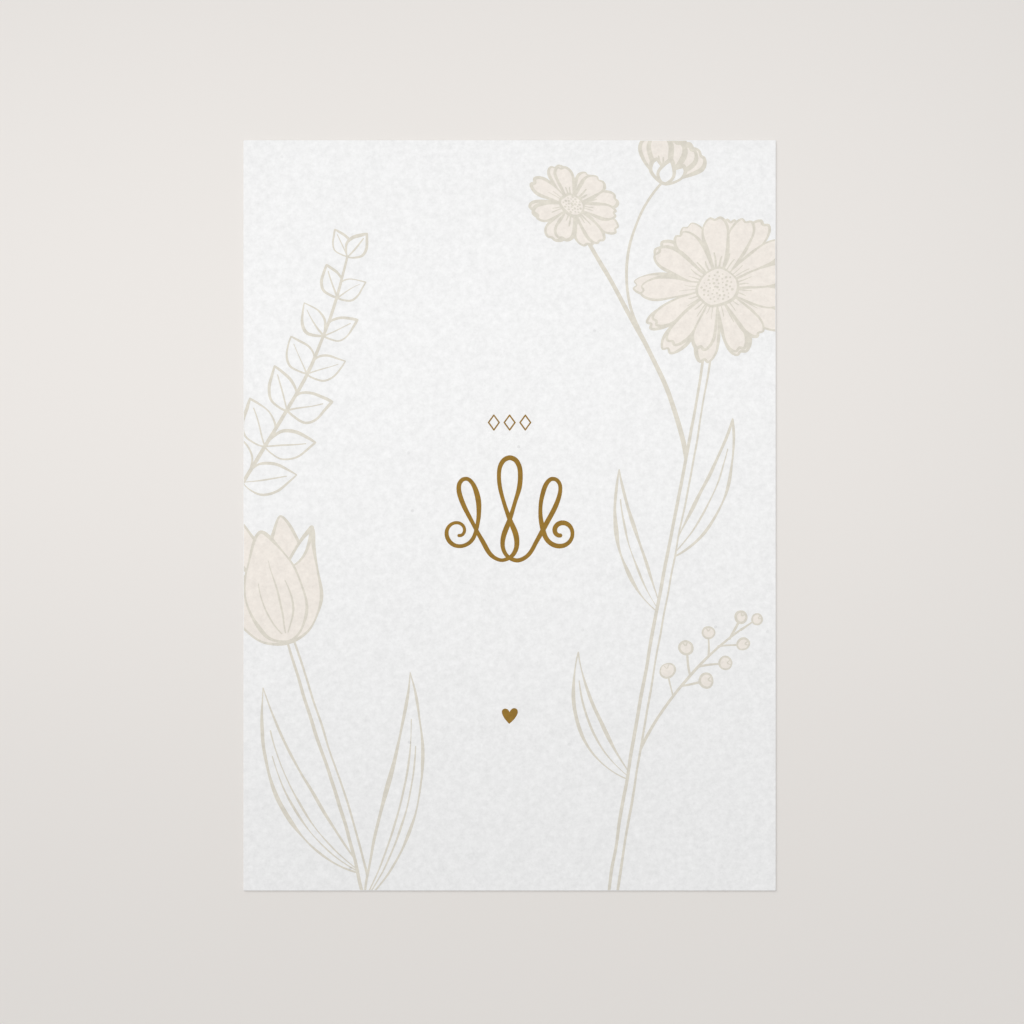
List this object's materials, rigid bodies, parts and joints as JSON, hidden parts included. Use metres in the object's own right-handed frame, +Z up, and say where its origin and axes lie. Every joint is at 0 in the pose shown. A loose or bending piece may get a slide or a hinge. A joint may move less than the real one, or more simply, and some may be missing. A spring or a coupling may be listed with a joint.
{
  "type": "postcard",
  "caption": "Portrait A6 postcard: a flat sheet of heavy uncoated card with a printed front and a plain back.",
  "frame": {"origin": "middle of the back face, which lies on the table", "axes": "+X along the short side, +Y to the top of the printed side, +Z up through the sheet, out of the printed side"},
  "size_m": [0.105, 0.148, 0.0004],
  "materials": {
    "card_stock": "matte",
    "line_ink": "matte",
    "blush_ink": "matte",
    "ochre_ink": "matte"
  },
  "bodies": {
    "root": {"card": "card_stock"}
  },
  "joints": []
}
